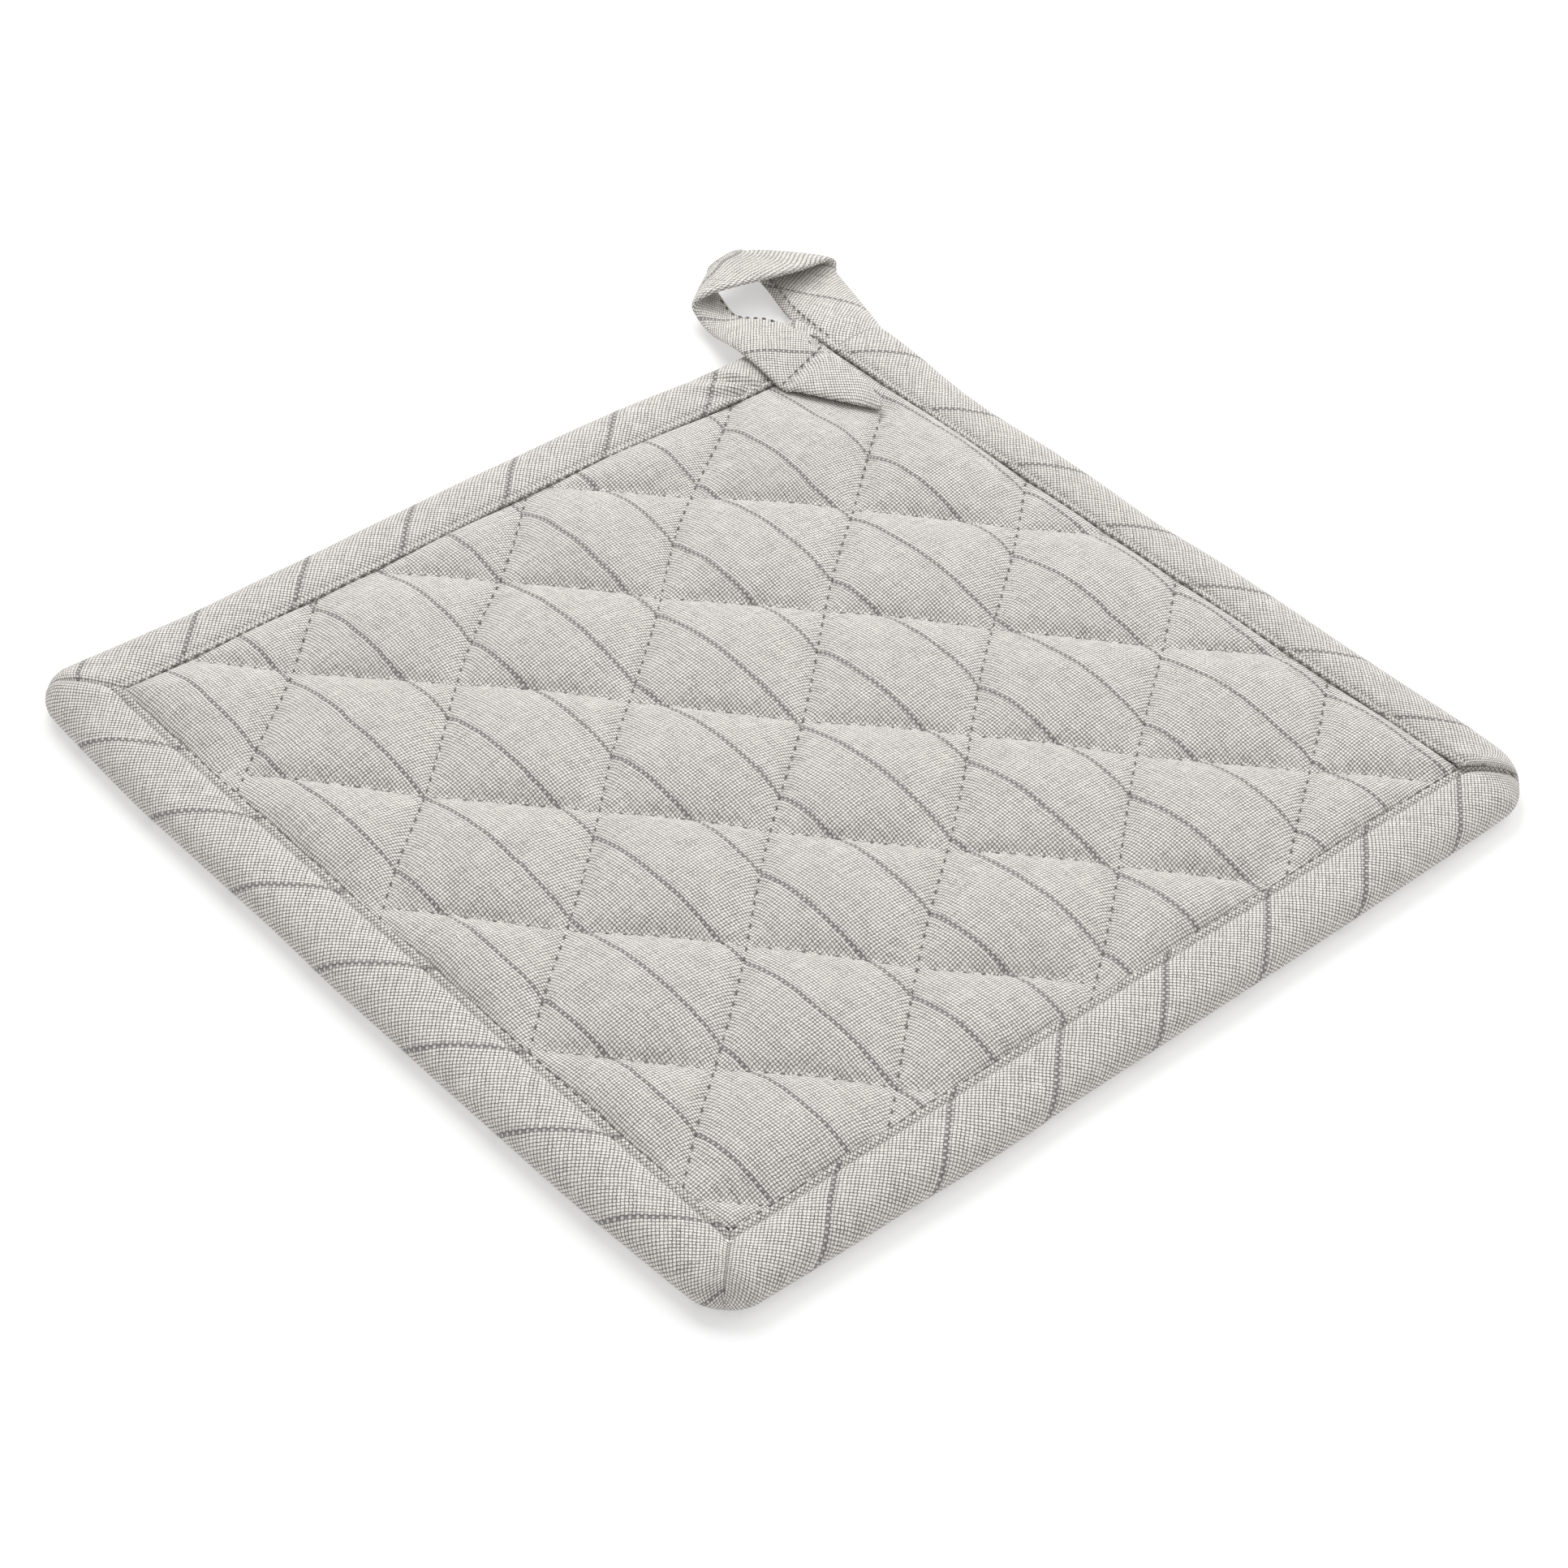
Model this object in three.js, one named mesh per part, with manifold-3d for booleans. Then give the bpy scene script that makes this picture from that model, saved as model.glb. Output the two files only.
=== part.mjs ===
// Quilted square pot holder with a bound edge and a hanging loop at one corner.
// Millimetres, +Z up. The origin is the middle of the underside, the quilted face is up, X and Y run
// along the edges, and the loop stands past the +Y edge at the +X corner.
// The pad bends in half about a soft crease, so its layers and its edge are each made in two parts.
import * as THREE from 'three';
import { mergeVertices } from 'three/addons/utils/BufferGeometryUtils.js';
import Module from 'manifold-3d';

const wasm = await Module();
wasm.setup();

// Driving dimensions
const side = 220; // bound edge to bound edge
const padHeight = 10; // underside to the crown of the face
const cloth = 0.9; // one ply of woven cloth
const gap = 0.3; // left between pieces that touch
const waddingGap = 0.6; // left round the wadding, whose facets cross those of the cloth
const bindingWidth = 14.5; // from the outer edge to the stitched inner edge
const bindingHeight = 7; // thickness of the bound edge
const cornerRadius = 12;
const layerReach = 104; // the layers end this far from the middle, inside the binding
const foldY = 5; // soft crease, just past the middle
const rampSteps = [0, 10, 20, 32]; // distances in from the binding where the pad swells
const rampRise = [0, 0.3, 0.75, 1]; // share of the full height reached there

const tapeWidth = 15;
const tapeThickness = 2.4; // the strip folded to four plies
const loopStartY = 112.5; // where the free part of the loop leaves the pad
const endPlateBottom = 8.2; // the loop's stitched end lies on the corner at this height

const quiltingSpacingA = 33.5; // between the lines that run from top left to bottom right
const quiltingSpacingB = 34.5; // between the lines that cross them
const quiltingAngleA = -48.2; // degrees from +X
const quiltingAngleB = 39.4;
const quiltingCentre = new THREE.Vector2(5.8, 1.5);
const linesA = { first: -4, last: 2 }; // numbered from the line through quiltingCentre
const linesB = { first: -3, last: 3 };
const threadWidth = 0.8;
const threadThickness = 0.3;
const threadClearance = 0.4; // the thread lies this far above the faceted cloth
const crossingLift = threadThickness + gap; // the second set of lines crosses above the first
const bindingSeamInset = 2; // binding stitch line, in from the inner edge of the binding

// Derived sizes
const half = side / 2;
const innerHalf = half - bindingWidth;
const rimHalf = innerHalf - gap; // the pad starts to swell here
const faceRimTop = bindingHeight - cloth - gap;
const backRimBottom = cloth + gap;

const faceCloth = { color: 0xcbc7c2, roughness: 0.95, metalness: 0 };
const backCloth = { color: 0xc6c2bc, roughness: 0.95, metalness: 0 };
const bindingCloth = { color: 0xc4bfb8, roughness: 0.95, metalness: 0 };
const waddingFibre = { color: 0xf0eee8, roughness: 1, metalness: 0 };
const greyThread = { color: 0xa39e96, roughness: 0.8, metalness: 0 };

function named(name, geometry, finish) {
  const mesh = new THREE.Mesh(geometry, new THREE.MeshStandardMaterial(finish));
  mesh.name = name;
  return mesh;
}

// How far the pad has swelled at a point: 0 at the binding, 1 in the middle.
function ramp(distanceIn) {
  for (let i = 1; i < rampSteps.length; i += 1) {
    if (distanceIn < rampSteps[i]) {
      const share = Math.max(0, distanceIn - rampSteps[i - 1]) / (rampSteps[i] - rampSteps[i - 1]);
      return rampRise[i - 1] + share * (rampRise[i] - rampRise[i - 1]);
    }
  }
  return 1;
}

function swell(x, y) {
  return ramp(rimHalf - Math.abs(x)) * ramp(rimHalf - Math.abs(y));
}

const backBottom = (x, y) => backRimBottom * (1 - swell(x, y));
const faceTop = (x, y) => faceRimTop + (padHeight - faceRimTop) * swell(x, y);

// Stations from the outer edge of a layer to where it is fully swelled.
const rimStations = [layerReach, ...rampSteps.map((step) => rimHalf - step)];
const xStations = [...rimStations.map((x) => -x), ...rimStations.toReversed()];
const lowerStations = [...rimStations.map((y) => -y), foldY - gap / 2];
const upperStations = [foldY + gap / 2, ...rimStations.toReversed()];

// A box divided at the stations, whose underside and top follow two height functions.
function layer(yStations, bottom, top) {
  const geometry = new THREE.BoxGeometry(1, 1, 1, xStations.length - 1, yStations.length - 1, 1);
  const position = geometry.attributes.position;
  for (let i = 0; i < position.count; i += 1) {
    const x = xStations[Math.round((position.getX(i) + 0.5) * (xStations.length - 1))];
    const y = yStations[Math.round((position.getY(i) + 0.5) * (yStations.length - 1))];
    const height = position.getZ(i) > 0 ? top : bottom;
    position.setXYZ(i, x, y, height(x, y));
  }
  return geometry;
}

function padLayers(end, yStations) {
  const backTop = (x, y) => backBottom(x, y) + cloth;
  const faceBottom = (x, y) => faceTop(x, y) - cloth;
  const waddingBottom = (x, y) => backTop(x, y) + waddingGap;
  const waddingTop = (x, y) => faceBottom(x, y) - waddingGap;
  return [
    named(`back_panel_${end}`, layer(yStations, backBottom, backTop), backCloth),
    named(`wadding_${end}`, layer(yStations, waddingBottom, waddingTop), waddingFibre),
    named(`face_panel_${end}`, layer(yStations, faceBottom, faceTop), faceCloth),
  ];
}

function solidFrom(geometry) {
  const bare = geometry.clone();
  bare.deleteAttribute('normal');
  bare.deleteAttribute('uv');
  const merged = mergeVertices(bare, 1e-4);
  return new wasm.Manifold(new wasm.Mesh({
    numProp: 3,
    vertProperties: new Float32Array(merged.attributes.position.array),
    triVerts: new Uint32Array(merged.index.array),
  }));
}

function geometryFrom(solid) {
  const mesh = solid.getMesh();
  const geometry = new THREE.BufferGeometry();
  geometry.setAttribute('position', new THREE.BufferAttribute(mesh.vertProperties, 3));
  geometry.setIndex(new THREE.BufferAttribute(mesh.triVerts, 1));
  geometry.computeVertexNormals();
  return geometry;
}

// The plan of the pad: three round corners, and a square one where the strip runs on into the loop.
function planPrism() {
  const shape = new THREE.Shape();
  const arcCentre = half - cornerRadius;
  shape.moveTo(half, half);
  shape.lineTo(-arcCentre, half);
  shape.absarc(-arcCentre, arcCentre, cornerRadius, Math.PI / 2, Math.PI);
  shape.absarc(-arcCentre, -arcCentre, cornerRadius, Math.PI, 1.5 * Math.PI);
  shape.absarc(arcCentre, -arcCentre, cornerRadius, 1.5 * Math.PI, 2 * Math.PI);
  shape.closePath();
  const prism = new THREE.ExtrudeGeometry(shape, {
    depth: bindingHeight + 2,
    bevelEnabled: false,
    curveSegments: 5,
  });
  prism.translate(0, 0, -1);
  return solidFrom(prism);
}

const plan = planPrism();

// Section of the strip where it wraps the edge, open towards the pad: distance in, height.
// Its turned-in plies fill the space outside the pad's layers.
function bindingSection() {
  const outer = 1.5; // chamfer of the outer edges
  const plies = half - layerReach - gap;
  return new THREE.Shape([
    new THREE.Vector2(outer, 0),
    new THREE.Vector2(bindingWidth, 0),
    new THREE.Vector2(bindingWidth, cloth),
    new THREE.Vector2(plies, cloth),
    new THREE.Vector2(plies, bindingHeight - cloth),
    new THREE.Vector2(bindingWidth, bindingHeight - cloth),
    new THREE.Vector2(bindingWidth, bindingHeight),
    new THREE.Vector2(outer, bindingHeight),
    new THREE.Vector2(0, bindingHeight - outer),
    new THREE.Vector2(0, outer),
  ]);
}

// One length of binding, made along the +X edge from start to end and then turned to its own edge.
// A mitred end is cut back by its distance in from the edge.
function bindingLength(start, end, turnDegrees) {
  const geometry = new THREE.ExtrudeGeometry(bindingSection(), { depth: 1, bevelEnabled: false });
  const position = geometry.attributes.position;
  for (let i = 0; i < position.count; i += 1) {
    const distanceIn = position.getX(i);
    const height = position.getY(i);
    const atEnd = position.getZ(i) > 0.5;
    const stop = atEnd ? end : start;
    const cutBack = stop.mitred ? distanceIn * (atEnd ? -1 : 1) : 0;
    position.setXYZ(i, half - distanceIn, stop.at + cutBack, height);
  }
  geometry.rotateZ(THREE.MathUtils.degToRad(turnDegrees));
  return geometryFrom(solidFrom(geometry).intersect(plan));
}

function bindingPieces() {
  const mitreGap = 0.22; // half the clearance between two mitred ends, along the edge
  const corner = { at: half - mitreGap, mitred: true };
  const farCorner = { at: mitreGap - half, mitred: true };
  const straight = (at) => ({ at, mitred: false });
  const below = straight(foldY - gap / 2);
  const above = straight(foldY + gap / 2);
  const mirrored = (stop) => ({ at: -stop.at, mitred: stop.mitred });
  const againstLoopSide = straight(gap - innerHalf);
  return {
    lower: [
      named('binding_right_lower', bindingLength(farCorner, below, 0), bindingCloth),
      named('binding_left_lower', bindingLength(mirrored(below), corner, 180), bindingCloth),
      named('binding_bottom', bindingLength(farCorner, corner, 270), bindingCloth),
    ],
    upper: [
      named('binding_right_upper', bindingLength(above, straight(half), 0), bindingCloth),
      named('binding_left_upper', bindingLength(farCorner, mirrored(above), 180), bindingCloth),
      named('binding_top', bindingLength(againstLoopSide, corner, 90), bindingCloth),
    ],
  };
}

// A flat strip with one cross-section for each station, given by the strip's two edges and by half
// its thickness, which points out of its top side.
function strip(stations) {
  const steps = stations.length - 1;
  const geometry = new THREE.BoxGeometry(2, 2, 2, 1, 1, steps);
  const position = geometry.attributes.position;
  for (let i = 0; i < position.count; i += 1) {
    const station = stations[Math.round(((position.getZ(i) + 1) / 2) * steps)];
    const point = station.right.clone().lerp(station.left, (position.getX(i) + 1) / 2);
    point.addScaledVector(station.through, position.getY(i));
    position.setXYZ(i, point.x, point.y, point.z);
  }
  return geometry;
}

// A sewing thread laid along a list of points, thin and flat.
function threadAlong(points) {
  const up = new THREE.Vector3(0, 0, threadThickness / 2);
  const stations = points.map((point, i) => {
    const before = points[Math.max(0, i - 1)];
    const after = points[Math.min(points.length - 1, i + 1)];
    const along = after.clone().sub(before).setZ(0).normalize();
    const across = new THREE.Vector3(-along.y, along.x, 0).multiplyScalar(threadWidth / 2);
    return { left: point.clone().add(across), right: point.clone().sub(across), through: up };
  });
  return strip(stations);
}

// The part of a straight line that lies inside a rectangle, as two distances along the line.
function clipLine(origin, direction, low, high) {
  let start = -Infinity;
  let end = Infinity;
  for (const axis of ['x', 'y']) {
    const first = (low[axis] - origin[axis]) / direction[axis];
    const second = (high[axis] - origin[axis]) / direction[axis];
    start = Math.max(start, Math.min(first, second));
    end = Math.min(end, Math.max(first, second));
  }
  return [start, end];
}

// One quilting line inside the stretch from lowY to highY, following the swelled face.
function quiltingThread(origin, direction, lift, lowY, highY) {
  const reach = innerHalf - 1;
  const low = new THREE.Vector2(-reach, lowY);
  const high = new THREE.Vector2(reach, highY);
  const [start, end] = clipLine(origin, direction, low, high);
  const shortest = 4; // a shorter scrap of line isn't sewn
  if (end - start < shortest) {
    return null;
  }
  const steps = Math.max(2, Math.ceil((end - start) / 6));
  const points = [];
  for (let i = 0; i <= steps; i += 1) {
    const distance = start + ((end - start) * i) / steps;
    const x = origin.x + direction.x * distance;
    const y = origin.y + direction.y * distance;
    const height = faceTop(x, y) + threadClearance + lift + threadThickness / 2;
    points.push(new THREE.Vector3(x, y, height));
  }
  return threadAlong(points);
}

function quiltingLine(family, number, origin) {
  const reach = innerHalf - 1;
  const lower = quiltingThread(origin, family.along, family.lift, -reach, foldY - gap / 2);
  const upper = quiltingThread(origin, family.along, family.lift, foldY + gap / 2, reach);
  const suffix = lower && upper ? { lower: '_lower', upper: '_upper' } : { lower: '', upper: '' };
  const base = `quilting_${family.letter}${number}`;
  return {
    lower: lower ? [named(base + suffix.lower, lower, greyThread)] : [],
    upper: upper ? [named(base + suffix.upper, upper, greyThread)] : [],
  };
}

function quilting() {
  const unit = (degrees) => {
    const angle = THREE.MathUtils.degToRad(degrees);
    return new THREE.Vector2(Math.cos(angle), Math.sin(angle));
  };
  const alongA = unit(quiltingAngleA);
  const alongB = unit(quiltingAngleB);
  const lines = { lower: [], upper: [] };
  const families = [
    { letter: 'a', lines: linesA, along: alongA, step: alongB, spacing: quiltingSpacingA, lift: 0 },
    {
      letter: 'b', lines: linesB, along: alongB, step: alongA,
      spacing: quiltingSpacingB, lift: crossingLift,
    },
  ];
  for (const family of families) {
    for (let k = family.lines.first; k <= family.lines.last; k += 1) {
      const origin = quiltingCentre.clone().addScaledVector(family.step, k * family.spacing);
      const line = quiltingLine(family, k - family.lines.first + 1, origin);
      lines.lower.push(...line.lower);
      lines.upper.push(...line.upper);
    }
  }
  return lines;
}

// The stitch line that holds the binding, following its inner edge round one end of the pad.
function bindingSeam(points) {
  const height = bindingHeight + threadClearance + threadThickness / 2;
  return threadAlong(points.map(([x, y]) => new THREE.Vector3(x, y, height)));
}

function bindingSeams() {
  const line = innerHalf + bindingSeamInset;
  const below = foldY - gap / 2;
  const above = foldY + gap / 2;
  const beforeLoop = 72; // the top seam stops where the loop's end lies over it
  return {
    lower: named('binding_seam_lower', bindingSeam([
      [-line, below], [-line, -line], [line, -line], [line, below],
    ]), greyThread),
    upper: named('binding_seam_upper', bindingSeam([
      [beforeLoop, line], [-line, line], [-line, above],
    ]), greyThread),
    upperRight: named('binding_seam_right', bindingSeam([[line, above], [line, line]]), greyThread),
  };
}

// The end of the strip: it comes back from the loop, lies on the corner and is turned under to a point.
function loopEnd() {
  const outline = new THREE.Shape([
    new THREE.Vector2(77, half - gap),
    new THREE.Vector2(76, 85),
    new THREE.Vector2(87, 66),
    new THREE.Vector2(92, 90),
    new THREE.Vector2(91.5, half - gap),
  ]);
  const depth = tapeThickness - gap;
  const geometry = new THREE.ExtrudeGeometry(outline, { depth, bevelEnabled: false });
  geometry.translate(0, 0, endPlateBottom);
  return named('loop_end', geometry, bindingCloth);
}

function loopTack() {
  const height = endPlateBottom + tapeThickness + threadThickness / 2;
  const tack = threadAlong([new THREE.Vector3(77, 86, height), new THREE.Vector3(91, 90.5, height)]);
  return named('loop_tack_seam', tack, greyThread);
}

// The free part of the loop. The strip runs on from the right edge, folds over itself to the left,
// crosses as a raised band, folds down again and comes back onto the corner.
function hangingLoop() {
  const up = new THREE.Vector3(0, 0, tapeThickness / 2);
  const down = up.clone().negate();
  const inwardRight = new THREE.Vector3(-0.86, -0.51, 0).multiplyScalar(tapeThickness / 2);
  const inwardLeft = new THREE.Vector3(0.67, -0.74, 0).multiplyScalar(tapeThickness / 2);
  const station = (left, right, through) => ({
    left: new THREE.Vector3(...left),
    right: new THREE.Vector3(...right),
    through,
  });
  const low = gap + tapeThickness / 2;
  const fold = 4.4; // middle height of the two soft folds
  const high = 7.3; // height of the band
  const ontoPad = endPlateBottom + tapeThickness / 2 - gap;
  const legWidth = tapeWidth - 0.5;
  return named('hanging_loop', strip([
    station([97, loopStartY, low], [97 + tapeWidth, loopStartY, low], up),
    station([105, 135, low], [117.5, 114, low], up),
    station([106, 137, fold], [119, 115, fold], inwardRight),
    station([105, 135.5, high], [117.5, 114.5, high], down),
    station([93.5, 133.5, high], [82.5, 123.5, high], down),
    station([92, 135, fold], [81.5, 125, fold], inwardLeft),
    station([92.5, 133, low], [82.5, 123, low], up),
    station([91.8, 120, low + 0.7], [77.8, 118.5, low + 0.7], up),
    station([91.5, loopStartY, ontoPad], [91.5 - legWidth, loopStartY, ontoPad], up),
  ]), bindingCloth);
}

function assemble() {
  const binding = bindingPieces();
  const threads = quilting();
  const seams = bindingSeams();

  const lowerHalf = new THREE.Group();
  lowerHalf.add(...padLayers('lower', lowerStations), ...binding.lower, ...threads.lower, seams.lower);

  const upperHalf = new THREE.Group();
  upperHalf.add(...padLayers('upper', upperStations), ...binding.upper, ...threads.upper);
  upperHalf.add(seams.upper, seams.upperRight, loopEnd(), loopTack());

  const loop = new THREE.Group();
  loop.add(hangingLoop());

  const potHolder = new THREE.Group();
  potHolder.add(lowerHalf, upperHalf, loop);
  return potHolder;
}

export default assemble();
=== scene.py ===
import math

import bpy
import numpy as np
from mathutils import Matrix, Vector


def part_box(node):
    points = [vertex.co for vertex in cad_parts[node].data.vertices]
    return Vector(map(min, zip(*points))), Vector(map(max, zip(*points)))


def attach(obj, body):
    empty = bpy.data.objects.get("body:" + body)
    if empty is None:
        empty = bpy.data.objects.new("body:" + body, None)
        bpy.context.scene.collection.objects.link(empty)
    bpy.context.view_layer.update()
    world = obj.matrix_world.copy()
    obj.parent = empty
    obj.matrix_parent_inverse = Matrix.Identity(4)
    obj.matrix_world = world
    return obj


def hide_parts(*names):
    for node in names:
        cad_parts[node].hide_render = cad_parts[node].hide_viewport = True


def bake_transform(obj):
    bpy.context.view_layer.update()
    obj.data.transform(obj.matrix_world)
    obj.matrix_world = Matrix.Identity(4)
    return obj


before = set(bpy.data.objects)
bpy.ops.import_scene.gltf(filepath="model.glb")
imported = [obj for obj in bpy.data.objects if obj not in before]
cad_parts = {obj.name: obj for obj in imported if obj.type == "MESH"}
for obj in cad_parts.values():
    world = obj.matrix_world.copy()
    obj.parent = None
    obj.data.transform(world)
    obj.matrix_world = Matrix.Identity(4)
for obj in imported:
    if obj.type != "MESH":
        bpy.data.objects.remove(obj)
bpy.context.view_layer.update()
print("frame loaded:", len(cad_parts), "CAD nodes")

mm = 0.001

# sizes taken from the frame
edgeLow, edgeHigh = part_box("binding_bottom")
padHalf = -edgeLow.y
bindingWidth = edgeHigh.y - edgeLow.y
innerHalf = padHalf - bindingWidth

quilt = {
    "crownTop": 10.0 * mm,  # highest point of the face
    "grooveTop": 5.9 * mm,  # face cloth where it is stitched down
    "grooveBack": 3.5 * mm,  # back cloth where it is stitched down
    "backPuff": 3.9 * mm,
    "rimBack": 2.75 * mm,  # back cloth where the binding holds it
    "cell": 34 * mm,  # distance between quilting lines
    "roundness": 0.62,  # below 1 the puffs are flat on top and steep at the stitches
    "unevenness": 0.06,  # share by which the height of the puffs varies
    "stitchPitch": 3.05 * mm,
    "pucker": 0.16 * mm,
    "slack": 0.35 * mm,  # soft unevenness of the puffs
    "gridCells": 236,
    "waddingCells": 110,
    "clothThickness": 0.7 * mm,
}

stripe = {
    "repeat": 19.5 * mm,  # across the cloth
    "planRepeat": 17.68 * mm,  # as it lies over the puffs
    "offset": 3.5 * mm,
    "follow": 0.3,  # how much a stripe wanders with the puffs under it
}


def smoothStep(low, high, value):
    t = np.clip((value - low) / (high - low), 0.0, 1.0)
    return t * t * (3 - 2 * t)


# How far the sewing pulls each edge in, in mm, at the middle of the side and at its ends. It sets in
# between two distances from the middle of the pad.
edgeDraw = {
    "top": {"middle": 2.2, "ends": 1.0, "from": 50, "to": 92},
    "right": {"middle": 1.6, "ends": 2.2, "from": 95, "to": 109},
    "left": {"middle": -0.4, "ends": 2.2, "from": 95, "to": 109},
    "bottom": {"middle": 0.4, "ends": 1.8, "from": 95, "to": 109},
    "loopPull": 3.0,  # the loop's stitching draws the far edge in further
    "loopLean": 1.6,  # and its leg leans out past the side edge
    "loopStart": 92,  # where the leg leaves the bound edge
}


def edgeShift(edge, along):
    draw = edgeDraw[edge]
    shift = -draw["middle"] + (draw["middle"] - draw["ends"]) * np.minimum(np.abs(along) / padHalf, 1) ** 4
    if edge == "top":
        pull = edgeDraw["loopPull"] * smoothStep(20 * mm, 76 * mm, along)
        shift = (shift - pull) * smoothStep(95.5 * mm, 88 * mm, along)
    if edge == "right":
        start = edgeDraw["loopStart"] * mm
        lean = smoothStep(start - 42 * mm, start, along)
        shift = shift * (1 - lean) + edgeDraw["loopLean"] * lean
    return shift * mm


def drawIn(points):
    # the finished pad isn't quite square: its edges are drawn in or out in plan
    x, y = points[..., 0].copy(), points[..., 1].copy()
    for edge, along, out, axis, sign in (("top", x, y, 1, 1), ("right", y, x, 0, 1),
                                         ("left", y, -x, 0, -1), ("bottom", x, -y, 1, -1)):
        draw = edgeDraw[edge]
        weight = smoothStep(draw["from"] * mm, draw["to"] * mm, out)
        points[..., axis] += sign * edgeShift(edge, along) * weight
    return points


def softNoise(x, y, size, seed):
    # smooth bumps between -1 and 1, one in each square of this size
    cells = 97
    middle = 500.0  # keeps the square's number above zero
    lattice = np.random.default_rng(seed).random((cells, cells)) * 2 - 1
    gx = np.asarray(x) / size + middle
    gy = np.asarray(y) / size + middle
    ix = np.floor(gx).astype(int)
    iy = np.floor(gy).astype(int)
    fx = gx - ix
    fy = gy - iy
    fx = fx * fx * (3 - 2 * fx)
    fy = fy * fy * (3 - 2 * fy)
    a = lattice[ix % cells, iy % cells]
    b = lattice[(ix + 1) % cells, iy % cells]
    c = lattice[ix % cells, (iy + 1) % cells]
    d = lattice[(ix + 1) % cells, (iy + 1) % cells]
    return (a * (1 - fx) + b * fx) * (1 - fy) + (c * (1 - fx) + d * fx) * fy


# quilting lines
# Each line starts from its CAD thread. The middle lines of a family are shifted the other way from the
# outer ones, in mm, and the lines fan out slightly, in degrees from the first to the last.
lineHabits = {
    "a": {"outer": 1.5, "middle": -2.5, "firstTurn": -0.5, "lastTurn": -0.5},
    "b": {"outer": 1.5, "middle": -0.5, "firstTurn": 1.5, "lastTurn": -3.5},
}
linesPerFamily = 7


def quiltingLine(family, number):
    stem = f"quilting_{family}{number}"
    nodes = [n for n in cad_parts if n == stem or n.startswith(stem + "_")]
    boxes = [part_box(n) for n in nodes]
    low = np.min([b[0] for b in boxes], axis=0)
    high = np.max([b[1] for b in boxes], axis=0)
    if family == "a":
        start = np.array((low[0], high[1]))
        end = np.array((high[0], low[1]))
    else:
        start = np.array((low[0], low[1]))
        end = np.array((high[0], high[1]))
    habit = lineHabits[family]
    place = (number - 1) / (linesPerFamily - 1)
    turn = math.radians(habit["firstTurn"] + (habit["lastTurn"] - habit["firstTurn"]) * place**2)
    shift = (habit["middle"] + (habit["outer"] - habit["middle"]) * (2 * place - 1) ** 2) * mm
    along = (end - start) / np.linalg.norm(end - start)
    middle = start - along * np.dot(start, along)  # the point nearest the middle of the pad
    along = np.array((
        along[0] * math.cos(turn) - along[1] * math.sin(turn),
        along[0] * math.sin(turn) + along[1] * math.cos(turn),
    ))
    across = np.array((-along[1], along[0]))
    return {
        "name": stem,
        "nodes": nodes,
        "middle": middle + across * shift,
        "along": along,
        "across": across,
        "wobble": (0.55 * mm, 2.0 * math.pi / (61 * mm + 5 * mm * number), number * 1.7 + ord(family)),
    }


quiltLines = {f: [quiltingLine(f, k + 1) for k in range(linesPerFamily)] for f in "ab"}


def lineWobble(line, s):
    size, rate, phase = line["wobble"]
    return size * np.sin(s * rate + phase)


def lineDistance(line, x, y):
    dx = x - line["middle"][0]
    dy = y - line["middle"][1]
    s = dx * line["along"][0] + dy * line["along"][1]
    off = dx * line["across"][0] + dy * line["across"][1] - lineWobble(line, s)
    return np.abs(off), s


def nearestLine(family, x, y):
    best = np.full(np.shape(x), 1.0)
    where = np.zeros(np.shape(x))
    for line in quiltLines[family]:
        off, s = lineDistance(line, x, y)
        closer = off < best
        best = np.where(closer, off, best)
        where = np.where(closer, s, where)
    return best, where


def arch(share):
    t = np.clip(share, 0.0, 1.0)
    return 1 - (1 - t) ** 2


def puff(x, y):
    halfCell = quilt["cell"] / 2
    distanceA, alongA = nearestLine("a", x, y)
    distanceB, alongB = nearestLine("b", x, y)
    distanceIn = innerHalf - np.maximum(np.abs(x), np.abs(y))
    rise = (arch(distanceA / halfCell) * arch(distanceB / halfCell)) ** quilt["roundness"]
    rise *= arch(distanceIn / (0.8 * halfCell)) ** quilt["roundness"]
    return np.clip(rise, 0, 1), (distanceA, alongA), (distanceB, alongB), distanceIn


def stitchPuckers(near):
    # each stitch pulls a small dent, and the cloth beside it ripples
    total = 0.0
    for distance, along in near:
        wave = 0.5 + 0.5 * np.cos(2 * math.pi * along / quilt["stitchPitch"])
        total = total - np.exp(-((distance / (1.3 * mm)) ** 2)) * wave * 1.6
        total = total + np.exp(-(((distance - 2.6 * mm) / (2.2 * mm)) ** 2)) * (wave - 0.5)
    return total * quilt["pucker"]


def loopPress(x, y):
    # the loop's stitched end holds the corner down
    low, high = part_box("loop_end")
    middleX = (low.x + high.x) / 2
    middleY = low.y + 0.45 * (high.y - low.y)
    reach = ((x - middleX) / (15 * mm)) ** 2 + ((y - middleY) / (20 * mm)) ** 2
    return 1 - 0.82 * np.exp(-(reach**1.5))


def faceHeight(x, y):
    rise, nearA, nearB, distanceIn = puff(x, y)
    height = quilt["crownTop"] - quilt["grooveTop"]
    crown = 1 + quilt["unevenness"] * softNoise(x, y, 26 * mm, 3)
    z = quilt["grooveTop"] + height * rise * crown * loopPress(x, y)
    z = z + quilt["slack"] * softNoise(x, y, 9 * mm, 5) * rise * (1 - 0.5 * rise)
    z = z + stitchPuckers((nearA, nearB)) * smoothStep(0, 4 * mm, distanceIn)
    under = smoothStep(0.4 * mm, -2.5 * mm, distanceIn)  # pressed down where the binding covers it
    return z - under * 0.9 * mm


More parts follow.
